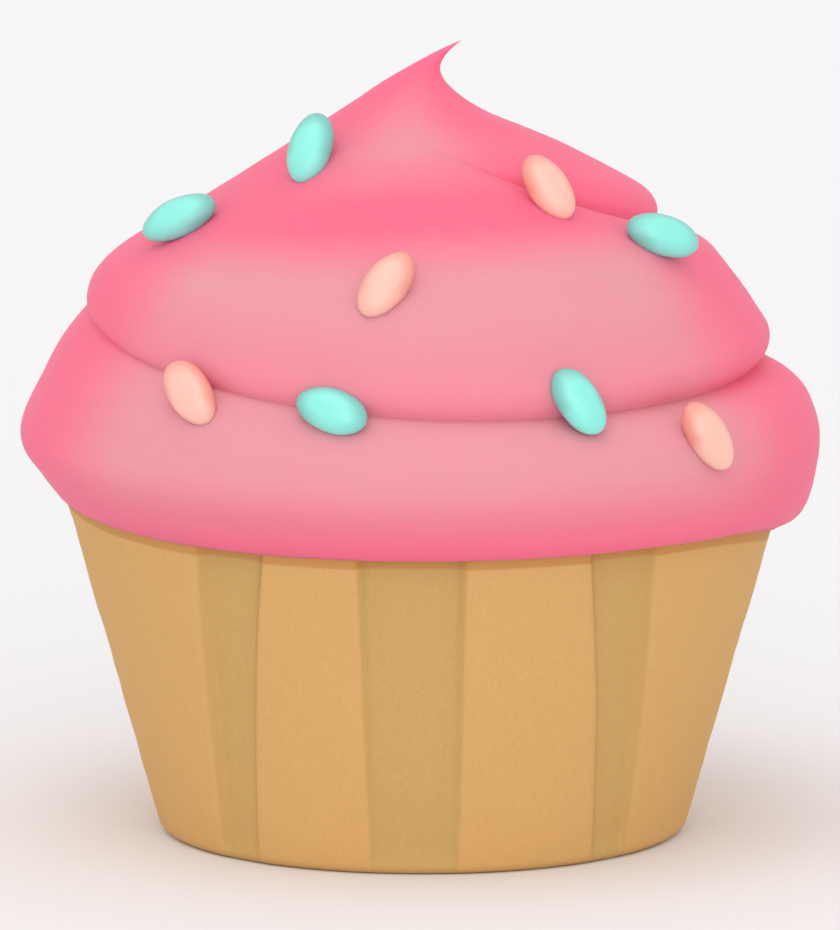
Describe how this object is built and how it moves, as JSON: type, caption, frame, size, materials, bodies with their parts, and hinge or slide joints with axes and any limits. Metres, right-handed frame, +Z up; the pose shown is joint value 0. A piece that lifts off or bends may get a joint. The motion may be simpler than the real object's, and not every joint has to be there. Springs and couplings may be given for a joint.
{
  "type": "cupcake",
  "caption": "Cupcake in a tan pleated paper case, topped with a piped swirl of pink frosting and oval sprinkles in mint and peach.",
  "frame": {"origin": "middle of the paper case's flat base, on the table", "axes": "+Z up, -Y the front, +X the side that the peak curls towards"},
  "size_m": [0.0775, 0.078, 0.0778],
  "materials": {
    "case_paper": "matte, greaseproof",
    "vanilla_cake": "open crumb",
    "pink_frosting": "smooth, satin",
    "mint_candy": "polished candy coat",
    "peach_candy": "polished candy coat"
  },
  "bodies": {
    "root": {"paper_case": "case_paper", "cake": "vanilla_cake", "frosting": "pink_frosting"}
  },
  "joints": []
}
